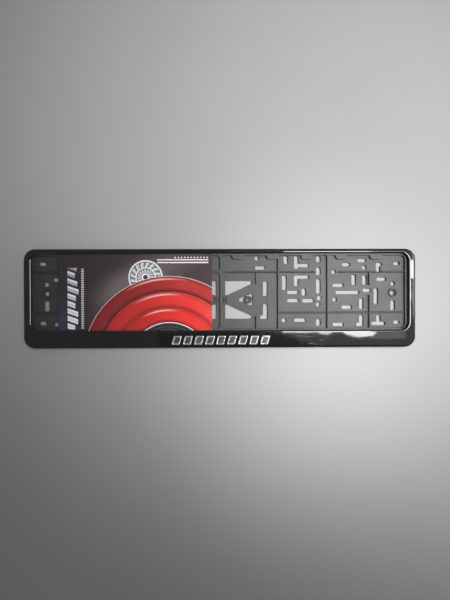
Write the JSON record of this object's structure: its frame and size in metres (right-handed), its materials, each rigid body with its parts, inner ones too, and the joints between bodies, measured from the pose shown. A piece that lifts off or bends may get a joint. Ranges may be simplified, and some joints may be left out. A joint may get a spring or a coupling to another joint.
{
  "type": "number plate holder",
  "caption": "Flat holder for a long vehicle number plate: a slotted backing plate and a clip-on gloss bezel with a round-edged window, a printed insert card and a raised bright trim row.",
  "frame": {"origin": "middle of the back, on the surface that the holder lies on", "axes": "+X along the holder to the right as seen from the front, +Y up the plate, +Z out of the front"},
  "size_m": [0.534, 0.135, 0.016],
  "materials": {
    "plate_plastic": "satin black, fine moulded texture",
    "bezel_plastic": "high gloss black",
    "printed_card": "glossy print in black, silver and red",
    "bright_trim": "bright chrome"
  },
  "bodies": {
    "root": {"backing_plate": "plate_plastic", "front_bezel": "bezel_plastic", "insert_card": "printed_card", "relief_trim": "bright_trim"}
  },
  "joints": []
}
